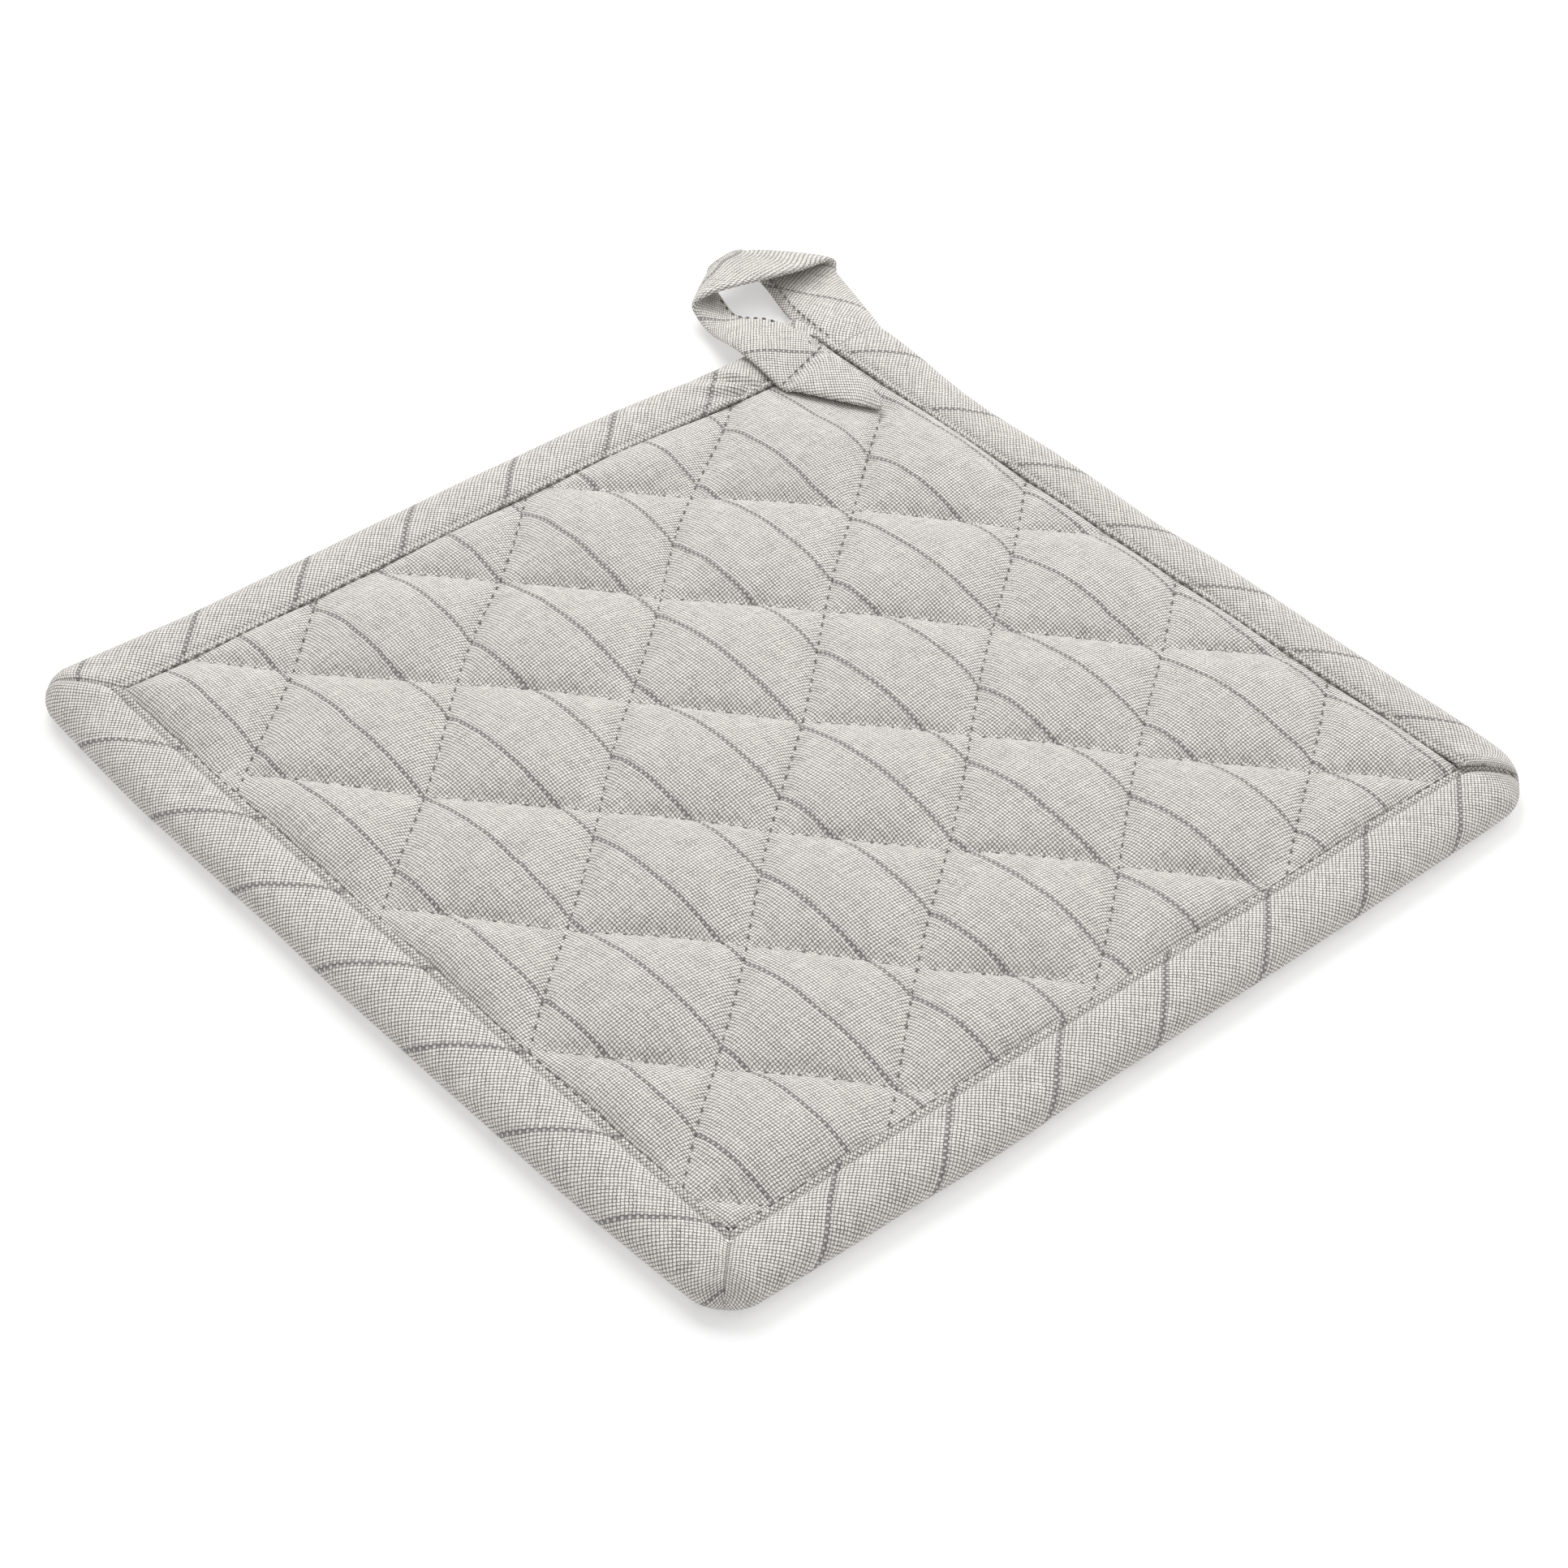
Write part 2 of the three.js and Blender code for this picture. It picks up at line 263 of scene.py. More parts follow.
def backHeight(x, y):
    rise, nearA, nearB, distanceIn = puff(x, y)
    crown = 1 + quilt["unevenness"] * softNoise(x, y, 24 * mm, 8)
    z = quilt["grooveBack"] - quilt["backPuff"] * rise * crown
    z = z - quilt["slack"] * softNoise(x, y, 9 * mm, 9) * rise * (1 - 0.5 * rise)
    z = z - stitchPuckers((nearA, nearB)) * smoothStep(0, 4 * mm, distanceIn)
    held = smoothStep(7 * mm, 0, distanceIn)
    z = z - held * (1 - rise) * (quilt["grooveBack"] - quilt["rimBack"])
    rest = 0.25 * mm  # the puffs lie flat on the table
    return np.where(z < rest * 2, rest * 2 * np.exp(np.minimum(z / (rest * 2) - 1, 0)), z)


# meshes from numpy arrays
def newMesh(name, vertices, faceGroups, uv, drawn=True):
    if drawn:
        vertices = drawIn(vertices.copy())
    mesh = bpy.data.meshes.new(name)
    faces = []
    for group in faceGroups:
        faces.extend(map(tuple, group.tolist()))
    mesh.from_pydata(vertices.tolist(), [], faces)
    layer = mesh.uv_layers.new(name="clothUV")
    loopVertex = np.zeros(len(mesh.loops), np.int32)
    mesh.loops.foreach_get("vertex_index", loopVertex)
    layer.data.foreach_set("uv", uv[loopVertex].astype(np.float32).ravel())
    mesh.polygons.foreach_set("use_smooth", np.ones(len(mesh.polygons), bool))
    mesh.update()
    piece = bpy.data.objects.new(name, mesh)
    bpy.context.scene.collection.objects.link(piece)
    return piece


def gridFaces(rows, columns, first=0):
    index = first + np.arange(rows * columns).reshape(rows, columns)
    return np.stack(
        (index[:-1, :-1], index[:-1, 1:], index[1:, 1:], index[1:, :-1]), axis=-1
    ).reshape(-1, 4)


def clothLengths(x, y, z):
    # distances measured over the puffs, so that the weave follows the cloth
    rowSteps = np.hypot(np.diff(x, axis=1), np.diff(z, axis=1))
    columnSteps = np.hypot(np.diff(y, axis=0), np.diff(z, axis=0))
    u = np.concatenate((np.zeros((x.shape[0], 1)), np.cumsum(rowSteps, axis=1)), axis=1)
    v = np.concatenate((np.zeros((1, x.shape[1])), np.cumsum(columnSteps, axis=0)), axis=0)
    u -= u[:, u.shape[1] // 2][:, None]
    v -= v[v.shape[0] // 2, :][None, :]
    stretch = np.ptp(x) * stripe["repeat"] / stripe["planRepeat"]
    u *= stretch / (u[:, -1] - u[:, 0])[:, None]
    v *= stretch / (v[-1, :] - v[0, :])[None, :]
    evenness = stretch / np.ptp(x)
    follow = stripe["follow"]
    return u * follow + x * evenness * (1 - follow), v * follow + y * evenness * (1 - follow)


def quiltedPanel(name, heightOf, outward, reach):
    # a thin shell: a fine outer side, a coarser inner side and a rim that joins them
    n = quilt["gridCells"]
    line = np.linspace(-reach, reach, n + 1)
    x, y = np.meshgrid(line, line)
    z = heightOf(x, y)
    u, v = clothLengths(x, y, z)
    u = u - stripe["offset"] * stripe["repeat"] / stripe["planRepeat"]
    outer = np.stack((x, y, z), axis=-1).reshape(-1, 3)
    inner = outer.reshape(n + 1, n + 1, 3)[::2, ::2].copy()
    inner[..., 2] -= outward * quilt["clothThickness"]
    m = inner.shape[0]
    vertices = np.concatenate((outer, inner.reshape(-1, 3)))
    uv = np.stack((u, v), axis=-1)
    uv = np.concatenate((uv.reshape(-1, 2), uv[::2, ::2].reshape(-1, 2)))
    first = (n + 1) ** 2
    fine = np.arange(first).reshape(n + 1, n + 1)
    coarse = first + np.arange(m * m).reshape(m, m)
    rims = []
    for f, c in ((fine[0], coarse[0]), (fine[:, -1], coarse[:, -1]),
                 (fine[-1, ::-1], coarse[-1, ::-1]), (fine[::-1, 0], coarse[::-1, 0])):
        rims.append(np.stack((f[0:-2:2], c[:-1], c[1:], f[2::2], f[1::2]), axis=-1))
    groups = [gridFaces(n + 1, n + 1), gridFaces(m, m, first)[:, ::-1], *rims]
    if outward < 0:
        groups = [g[:, ::-1] for g in groups]
    return newMesh(name, vertices, groups, uv)


print("quilting: face and back panels")
panelReach = innerHalf + 3.4 * mm  # both panels run in under the binding
facePanel = quiltedPanel("face_panel", faceHeight, 1, panelReach)
backPanel = quiltedPanel("back_panel", backHeight, -1, panelReach)


def makeWadding(reach, cells):
    # fills the space between the panels, at least 0.5 mm thick
    line = np.linspace(-reach, reach, cells + 1)
    x, y = np.meshgrid(line, line)
    clear = quilt["clothThickness"] + 0.15 * mm
    top = faceHeight(x, y) - clear
    bottom = backHeight(x, y) + clear
    middle = (top + bottom) / 2
    top = np.maximum(top, middle + 0.25 * mm)
    bottom = np.minimum(bottom, middle - 0.25 * mm)
    vertices = np.concatenate((
        np.stack((x, y, top), axis=-1).reshape(-1, 3),
        np.stack((x, y, bottom), axis=-1).reshape(-1, 3),
    ))
    k = cells + 1
    upper = np.arange(k * k).reshape(k, k)
    lower = upper + k * k
    rims = []
    for a, b in ((upper[0], lower[0]), (upper[:, -1], lower[:, -1]),
                 (upper[-1, ::-1], lower[-1, ::-1]), (upper[::-1, 0], lower[::-1, 0])):
        rims.append(np.stack((a[:-1], b[:-1], b[1:], a[1:]), axis=-1))
    groups = [gridFaces(k, k), gridFaces(k, k, k * k)[:, ::-1], *rims]
    uv = np.stack((x, y), axis=-1).reshape(-1, 2)
    return newMesh("wadding", vertices, groups, np.concatenate((uv, uv)))


wadding = makeWadding(innerHalf + 3 * mm, quilt["waddingCells"])

# the bias strip
strip = {
    "height": 7.4 * mm,  # thickness of the bound edge
    "cornerRadius": (9.5 * mm, 10 * mm, 15 * mm),  # far left, near, right
    "ply": 0.75 * mm,
    "outerPoints": 44,  # round the outer side of a section
    "innerStep": 3,  # the inner side has one point for this many outer ones
    "stationStep": 1.0 * mm,
    "waviness": 0.35 * mm,
}

# Section of the strip, for a width and a height of 1: from the stitched top lip, round the outer
# edge, to the lip underneath. First number: distance in from the outer edge. Second: height.
sectionKnots = np.array((
    (0.998, 0.76), (1.012, 0.83), (1.006, 0.91), (0.978, 0.955), (0.945, 0.95), (0.922, 0.88),
    (0.908, 0.825), (0.893, 0.87), (0.85, 0.935), (0.74, 0.98), (0.58, 1.0), (0.40, 0.985),
    (0.22, 0.92), (0.09, 0.78), (0.015, 0.60), (0.0, 0.44),
    (0.03, 0.26), (0.11, 0.11), (0.24, 0.035), (0.42, 0.005), (0.60, 0.02), (0.77, 0.085),
    (0.86, 0.17), (0.895, 0.225), (0.93, 0.19), (0.975, 0.195), (1.008, 0.26), (1.002, 0.36),
))


def splinePoints(knots, count):
    # a smooth curve through the knots, evenly spaced by length
    knots = np.asarray(knots, float)
    padded = np.vstack((2 * knots[0] - knots[1], knots, 2 * knots[-1] - knots[-2]))
    points = []
    for i in range(1, len(padded) - 2):
        p0, p1, p2, p3 = padded[i - 1], padded[i], padded[i + 1], padded[i + 2]
        for t in np.linspace(0, 1, 12, endpoint=False):
            points.append(0.5 * ((2 * p1) + (p2 - p0) * t + (2 * p0 - 5 * p1 + 4 * p2 - p3) * t**2
                                 + (3 * p1 - p0 - 3 * p2 + p3) * t**3))
    points.append(knots[-1])
    points = np.array(points)
    length = np.concatenate(([0], np.cumsum(np.linalg.norm(np.diff(points, axis=0), axis=1))))
    even = np.linspace(0, length[-1], count)
    return np.stack([np.interp(even, length, points[:, k]) for k in range(points.shape[1])], axis=-1)


def stripSection(width, height, closed=0.0):
    # closed is how far the two lips are pressed together, from 0 to 1
    step = strip["innerStep"]
    knots = sectionKnots.copy()
    nearLip = smoothStep(0.88, 1.0, knots[:, 0])
    knots[:, 1] = 0.5 + (knots[:, 1] - 0.5) * (1 - 0.86 * closed * nearLip)
    outer = splinePoints(knots * (width, height), strip["outerPoints"])
    tangent = np.gradient(outer, axis=0)
    tangent /= np.linalg.norm(tangent, axis=1)[:, None]
    normal = np.stack((-tangent[:, 1], tangent[:, 0]), axis=-1)
    ply = min(strip["ply"], 0.42 * height)
    inner = (outer + normal * ply)[::step][::-1]
    across = np.concatenate(([0], np.cumsum(np.linalg.norm(np.diff(outer, axis=0), axis=1))))
    acrossInner = across[::step][::-1]
    return np.concatenate((outer, inner)), np.concatenate((across, acrossInner))


def sectionFaces(stations, ring, first=0):
    # a closed tube through the stations, with its two ends
    index = first + np.arange(stations * ring).reshape(stations, ring)
    after = np.roll(index, -1, axis=1)
    walls = np.stack((index[:-1], index[1:], after[1:], after[:-1]), axis=-1).reshape(-1, 4)
    return [walls, index[:1], index[-1:, ::-1]]


def biasUV(s, t):
    return np.stack(((s + t), (s - t)), axis=-1) / math.sqrt(2)


def roundCorners(points):
    x, y = points[:, 0].copy(), points[:, 1].copy()
    farLeft, near, right = strip["cornerRadius"]
    c = padHalf - np.where(x > 0, right, np.where(y > 0, farLeft, near))
    dx = np.abs(x) - c
    dy = np.abs(y) - c
    inCorner = (dx > 0) & (dy > 0) & ~((x > 0) & (y > 0))
    reach = np.maximum(dx, dy)
    length = np.hypot(dx, dy) + 1e-12
    nx = c + dx * reach / length
    ny = c + dy * reach / length
    points[:, 0] = np.where(inCorner, np.sign(x) * nx, x)
    points[:, 1] = np.where(inCorner, np.sign(y) * ny, y)
    return points


# Sides of the binding in sewing order: where they start and stop, how they are turned, and where a
# stripe of the cloth crosses the inner edge. The crease's depth and the step's height, in mm, are for
# each side's two ends.
bindingSides = (
    {"turn": 90, "from": -98 * mm, "to": None, "stripeAt": 0.0, "crease": (0, 1.3), "step": (0, -0.3)},
    {"turn": 180, "from": None, "to": None, "stripeAt": -14.9 * mm, "crease": (0.3, 0.5), "step": (0.5, 0)},
    {"turn": 270, "from": None, "to": None, "stripeAt": 14.0 * mm, "crease": (0.5, 2.6), "step": (0, -0.9)},
    {"turn": 0, "from": None, "to": 92 * mm, "stripeAt": 9.1 * mm, "crease": (0.2, 0), "step": (0.9, 0)},
)

# Both sides of a mitre, in mm: how wide the crease, the swelling and the step are, how far the
# swelling lies from the crease, and how high it is.
mitre = {"creaseWidth": 1.0, "swellWidth": 2.6, "swellAt": 3.4, "swellRise": 0.35, "stepWidth": 7}


def bindingSide(side, number):
    section, across = stripSection(bindingWidth, strip["height"])
    ring = len(section)
    start = side["from"] if side["from"] is not None else -padHalf
    stop = side["to"] if side["to"] is not None else padHalf
    count = int((stop - start) / strip["stationStep"]) + 1
    share = np.linspace(0, 1, count)[:, None]
    depth = section[:, 0][None, :]
    # mitred ends are cut back by the distance in from the edge
    low = start + (depth if side["from"] is None else 0 * depth)
    high = stop - (depth if side["to"] is None else 0 * depth)
    s = low + (high - low) * share
    wave = strip["waviness"] * softNoise(s, depth * 0 + number * 0.3, 23 * mm, 21 + number)
    fade = smoothStep(0, 12 * mm, s + padHalf) * smoothStep(0, 12 * mm, padHalf - s)
    x = padHalf - depth + wave * fade * (1 - depth / bindingWidth)
    lift = 1 + 0.05 * softNoise(s, depth, 17 * mm, 31 + number) * fade
    z = section[:, 1][None, :] * lift
    middle = strip["height"] / 2
    upper = np.clip((z - middle) / middle, -0.2, 1)
    for end, gap, mitred in ((0, s + padHalf - depth, side["from"] is None),
                             (1, padHalf - depth - s, side["to"] is None)):
        if mitred:
            gap = np.abs(gap)
            crease = np.exp(-((gap / (mitre["creaseWidth"] * mm)) ** 2)) * side["crease"][end] * mm
            beside = (gap - mitre["swellAt"] * mm) / (mitre["swellWidth"] * mm)
            swell = np.exp(-(beside**2)) * mitre["swellRise"] * mm
            step = np.exp(-((gap / (mitre["stepWidth"] * mm)) ** 2)) * side["step"][end] * mm
            z = z + upper * (swell - crease + step)
    z = np.maximum(z, 0.15 * mm)  # nothing under the table top
    if side["from"] is not None:
        # the strip's end is pressed flatter where it runs in under the loop
        waist = 3.6 * mm
        tucked = smoothStep(side["from"] + 4.5 * mm, side["from"] + 2.5 * mm, s)
        z = waist + (z - waist) * (1 - 0.45 * tucked)
    points = np.stack((x * np.ones_like(s), s, z * np.ones_like(s)), axis=-1)
    angle = math.radians(side["turn"])
    turned = points.copy()
    turned[..., 0] = points[..., 0] * math.cos(angle) - points[..., 1] * math.sin(angle)
    turned[..., 1] = points[..., 0] * math.sin(angle) + points[..., 1] * math.cos(angle)
    t = across[None, :] * np.ones_like(s)
    return turned, biasUV(s - side["stripeAt"], t)


def mitreFold(rings, atStart):
    # the layer of the strip that is folded in behind a mitre and closes its end
    outerPoints = strip["outerPoints"]
    outward = rings[:, :outerPoints:strip["innerStep"]]
    inward = rings[:, outerPoints:][:, ::-1]
    edge, behind = (outward + inward) / 2
    front = edge + (behind - edge) * 0.05
    back = edge + (behind - edge) * 0.9
    fold = np.stack((front, back) if atStart else (back, front))
    uv = biasUV(np.hypot(fold[..., 0], fold[..., 1]), fold[..., 2])
    return fold, uv


# Pleats where the far edge runs in under the loop: direction in degrees and height in mm.
loopPleats = {"from": (77.5, 91.0), "folds": ((122, 0.8), (131, -1.0), (141, 1.0), (151, -0.9), (162, 0.6))}


def pleated(points):
    startX, startY = loopPleats["from"]
    dx = points[:, 0] - startX * mm
    dy = points[:, 1] - startY * mm
    middle = strip["height"] / 2
    upper = np.clip((points[:, 2] - middle) / middle, 0, 1)
    for angle, rise in loopPleats["folds"]:
        cx, cy = math.cos(math.radians(angle)), math.sin(math.radians(angle))
        along = dx * cx + dy * cy
        across = dx * cy - dy * cx
        width = 0.7 * mm + 0.06 * np.maximum(along, 0)
        reach = smoothStep(0, 5 * mm, along) * smoothStep(27 * mm, 12 * mm, along)
        points[:, 2] += upper * rise * mm * reach * np.exp(-((across / width) ** 2))
    return points


def makeBinding():
    vertices, uvs, groups = [], [], []
    first = 0
    for number, side in enumerate(bindingSides):
        points, uv = bindingSide(side, number)
        shape = points.shape
        points = roundCorners(points.reshape(-1, 3))
        if number == 0:
            points = pleated(points)
        points = points.reshape(shape)
        parts = [(points, uv)]
        if side["from"] is None:
            parts.append(mitreFold(points[:2], True))
        if side["to"] is None:
            parts.append(mitreFold(points[-1:-3:-1], False))
        for partPoints, partUV in parts:
            stations, ring = partPoints.shape[:2]
            vertices.append(partPoints.reshape(-1, 3))
            uvs.append(partUV.reshape(-1, 2))
            groups.extend(sectionFaces(stations, ring, first))
            first += stations * ring
    return newMesh("edge_binding", np.concatenate(vertices), groups, np.concatenate(uvs))


print("sewing: edge binding")
binding = makeBinding()

# the hanging loop
# The tape's route, in mm, one station at each bend: outer edge, inner edge (both at mid-thickness),
# the direction its upper side faces, and its thickness.
loopStations = (
    ((111.6, 92, 3.7), (95.5, 92, 3.7), (0, 0, 1), 7.4),  # leaves the bound edge
    ((114, 99, 3.5), (97.5, 103.5, 3.2), (0, 0, 1), 6.2),
    ((117, 107, 3), (100.5, 114, 2.2), (0, 0, 1), 4.2),
    ((119.5, 114, 2.6), (104, 124, 1.7), (0, 0, 1), 2.8),
    ((121, 119, 2.8), (106.5, 133, 1.7), (-0.1, -0.05, 1), 2.4),
    ((122, 120.5, 4.1), (108.5, 138.5, 3), (-0.8, -0.6, -0.1), 2.3),  # first turn over
    ((120, 121, 5.5), (107, 138.5, 4.4), (-0.3, -0.3, -0.95), 2.3),
    ((109.5, 120.2, 7.3), (103, 138, 5.5), (0, -0.2, -1), 2.3),
    ((93.5, 123.5, 8.2), (97.5, 137, 5.5), (0.2, -0.2, -0.95), 2.3),
    ((87, 126, 7.3), (95.5, 136, 4.8), (0.5, -0.4, -0.75), 2.3),
    ((83.5, 127, 5.7), (94.5, 134, 3.6), (0.85, -0.5, 0.1), 2.3),  # second turn over
    ((82.5, 125, 4.1), (94, 130.5, 2.3), (0.4, -0.2, 0.9), 2.3),
    ((80.5, 117.5, 3.9), (91.5, 120.5, 2.2), (0, 0, 1), 2.3),
    ((77.5, 107, 7.5), (92, 108.5, 7.2), (0, 0.2, 1), 2.3),  # up onto the corner
    ((76, 97, 8.6), (92, 100, 8.7), (0, 0, 1), 2.2),
    ((75.2, 86.5, 7.6), (91.5, 92, 8), (0, 0, 1), 1.8),  # held by the tack seam
    ((77, 83, 8.1), (92.5, 88, 8.6), (0, 0, 1), 2.1),
    ((83, 72.5, 8.1), (91.5, 77, 8.4), (0, 0, 1), 1.8),
    ((87, 67, 7.6), (88.5, 68, 7.6), (0, 0, 1), 1.3),  # point
)


turnWeight = 6  # turns count as length too, so that they get stations


def loopFrames(count):
    knots = np.array([[*outer, *inner, *facing, height] for outer, inner, facing, height in loopStations])
    knots[:, 6:9] /= np.linalg.norm(knots[:, 6:9], axis=1)[:, None]
    knots[:, 6:9] *= turnWeight
    frames = splinePoints(knots, count)
    outer = frames[:, 0:3] * mm
    inner = frames[:, 3:6] * mm
    facing = frames[:, 6:9]
    across = inner - outer
    width = np.linalg.norm(across, axis=1)
    across = across / width[:, None]
    facing = facing - across * np.sum(facing * across, axis=1)[:, None]
    facing /= np.linalg.norm(facing, axis=1)[:, None]
    middle = outer + across * width[:, None] / 2
    steps = np.linalg.norm(np.diff(middle, axis=0), axis=1)
    return {
        "outer": outer,
        "across": across,
        "facing": facing,
        "width": width,
        "thickness": frames[:, 9] * mm,
        "travelled": np.concatenate(([0], np.cumsum(steps))),  # along the middle of the tape
    }


tapeStations = 190
tape = loopFrames(tapeStations)


def makeLoop():
    lastSide = bindingSides[3]  # the tape carries on from it, and so do its stripes
    vertices, uvs = [], []
    for i in range(tapeStations):
        thickness = tape["thickness"][i]
        travelled = tape["travelled"][i]
        section, t = stripSection(tape["width"][i], thickness, smoothStep(3 * mm, 17 * mm, travelled))
        sideways = tape["across"][i] * section[:, :1]
        upwards = tape["facing"][i] * (section[:, 1:] - thickness / 2)
        vertices.append(tape["outer"][i] + sideways + upwards)
        ease = np.interp(travelled / mm, (0, 18, 60), (0, -3.5, -3.0)) * mm  # shifts the stripes a little
        s = lastSide["to"] + travelled + ease - lastSide["stripeAt"]
        uvs.append(biasUV(np.full_like(t, s), t))
    groups = sectionFaces(tapeStations, len(vertices[0]))
    return newMesh("hanging_loop_tape", np.concatenate(vertices), groups, np.concatenate(uvs), drawn=False)


print("folding: hanging loop")
loopTape = makeLoop()


# stitches by Geometry Nodes
def stitchTree():
    tree = bpy.data.node_groups.new("runningStitch", "GeometryNodeTree")
    face = tree.interface
    face.new_socket("Geometry", in_out="INPUT", socket_type="NodeSocketGeometry")
    for label, value in (("Pitch", 3.0 * mm), ("Stitch length", 2.2 * mm), ("Thread width", 0.42 * mm)):
        socket = face.new_socket(label, in_out="INPUT", socket_type="NodeSocketFloat")
        socket.default_value = value
    face.new_socket("Thread", in_out="INPUT", socket_type="NodeSocketMaterial")
    face.new_socket("Geometry", in_out="OUTPUT", socket_type="NodeSocketGeometry")
    add = tree.nodes.new
    link = tree.links.new
    source = add("NodeGroupInput")
    target = add("NodeGroupOutput")
    toCurve = add("GeometryNodeMeshToCurve")
    toPoints = add("GeometryNodeCurveToPoints")
    toPoints.mode = "LENGTH"
    bead = add("GeometryNodeMeshUVSphere")
    bead.inputs["Segments"].default_value = 7
    bead.inputs["Rings"].default_value = 5
    bead.inputs["Radius"].default_value = 0.5
    size = add("ShaderNodeCombineXYZ")
    shape = add("GeometryNodeTransform")
    align = add("FunctionNodeAlignRotationToVector")
    align.axis = "X"
    place = add("GeometryNodeInstanceOnPoints")
    vary = add("FunctionNodeRandomValue")
    vary.data_type = "FLOAT"
    vary.inputs[2].default_value = 0.85
    vary.inputs[3].default_value = 1.12
    vary.inputs["Seed"].default_value = 11
    realize = add("GeometryNodeRealizeInstances")
    finish = add("GeometryNodeSetMaterial")
    smooth = add("GeometryNodeSetShadeSmooth")
    link(source.outputs["Geometry"], toCurve.inputs["Mesh"])
    link(toCurve.outputs["Curve"], toPoints.inputs["Curve"])
    link(source.outputs["Pitch"], toPoints.inputs["Length"])
    link(source.outputs["Stitch length"], size.inputs["X"])
    link(source.outputs["Thread width"], size.inputs["Y"])
    link(source.outputs["Thread width"], size.inputs["Z"])
    link(bead.outputs["Mesh"], shape.inputs["Geometry"])
    link(size.outputs["Vector"], shape.inputs["Scale"])
    link(toPoints.outputs["Tangent"], align.inputs["Vector"])
    link(toPoints.outputs["Points"], place.inputs["Points"])
    link(shape.outputs["Geometry"], place.inputs["Instance"])
    link(align.outputs["Rotation"], place.inputs["Rotation"])
    link(vary.outputs[1], place.inputs["Scale"])
    link(place.outputs["Instances"], realize.inputs["Geometry"])
    link(realize.outputs["Geometry"], smooth.inputs["Geometry"])
    link(smooth.outputs["Geometry"], finish.inputs["Geometry"])
    link(source.outputs["Thread"], finish.inputs["Material"])
    link(finish.outputs["Geometry"], target.inputs["Geometry"])
    return tree


stitches = stitchTree()


def sewAlong(name, paths, settings, thread):
    # paths become stitches, then a plain mesh
    vertices, edges = [], []
    for path in paths:
        first = len(vertices)
        vertices.extend(map(tuple, np.asarray(path).tolist()))
        edges.extend((first + i, first + i + 1) for i in range(len(path) - 1))
    mesh = bpy.data.meshes.new(name + "_path")
    mesh.from_pydata(vertices, edges, [])
    holder = bpy.data.objects.new(name + "_path", mesh)
    bpy.context.scene.collection.objects.link(holder)
    modifier = holder.modifiers.new("stitches", "NODES")
    modifier.node_group = stitches
    values = {**settings, "Thread": thread}
    for item in stitches.interface.items_tree:
        if item.in_out == "INPUT" and item.name in values:
            modifier[item.identifier] = values[item.name]
    evaluated = holder.evaluated_get(bpy.context.evaluated_depsgraph_get())
    sewn = bpy.data.meshes.new_from_object(evaluated)
    sewn.name = name
    piece = bpy.data.objects.new(name, sewn)
    bpy.context.scene.collection.objects.link(piece)
    bpy.data.objects.remove(holder)
    if not sewn.materials:
        sewn.materials.append(thread)
    return piece


# materials
class Nodes:
    # short helper for building a material's node tree
    def __init__(self, name):
        self.material = bpy.data.materials.new(name)
        self.material.use_nodes = True
        self.tree = self.material.node_tree
        self.shader = next(n for n in self.tree.nodes if n.type == "BSDF_PRINCIPLED")

    def plug(self, socket, value):
        if hasattr(value, "is_output"):
            self.tree.links.new(value, socket)
        else:
            socket.default_value = value

    def calc(self, kind, a, b=0.0, c=0.0, clamp=False):
        node = self.tree.nodes.new("ShaderNodeMath")
        node.operation = kind
        node.use_clamp = clamp
        self.plug(node.inputs[0], a)
        self.plug(node.inputs[1], b)
        self.plug(node.inputs[2], c)
        return node.outputs[0]

    def between(self, value, low, high, toLow=0.0, toHigh=1.0):
        node = self.tree.nodes.new("ShaderNodeMapRange")
        node.interpolation_type = "SMOOTHSTEP"
        self.plug(node.inputs["Value"], value)
        node.inputs["From Min"].default_value = low
        node.inputs["From Max"].default_value = high
        node.inputs["To Min"].default_value = toLow
        node.inputs["To Max"].default_value = toHigh
        return node.outputs[0]

    def mixColour(self, factor, a, b):
        node = self.tree.nodes.new("ShaderNodeMix")
        node.data_type = "RGBA"
        self.plug(node.inputs[0], factor)
        self.plug(node.inputs[6], a)
        self.plug(node.inputs[7], b)
        return node.outputs[2]

    def noise(self, vector, scale, detail=2.0, roughness=0.5):
        node = self.tree.nodes.new("ShaderNodeTexNoise")
        self.tree.links.new(vector, node.inputs["Vector"])
        node.inputs["Scale"].default_value = scale
        node.inputs["Detail"].default_value = detail
        node.inputs["Roughness"].default_value = roughness
        return node.outputs["Fac"]

    def vector(self, x, y, z=0.0):
        node = self.tree.nodes.new("ShaderNodeCombineXYZ")
        self.plug(node.inputs[0], x)
        self.plug(node.inputs[1], y)
        self.plug(node.inputs[2], z)
        return node.outputs[0]


weave = {
    "pitch": 0.72 * mm,  # one thread to the next
    "stripeWidth": 0.95 * mm,
    # light and dark are the two ends of the cloth's colour: dark is painted shade in the gaps between the
    # threads, and also the dark end of each thread's own tone
    "light": (0.90, 0.862, 0.82, 1),
    "dark": (0.16, 0.152, 0.145, 1),
    "stripe": (0.15, 0.145, 0.145, 1),
    "bump": 0.22 * mm,
    "wander": 0.9 * mm,
}


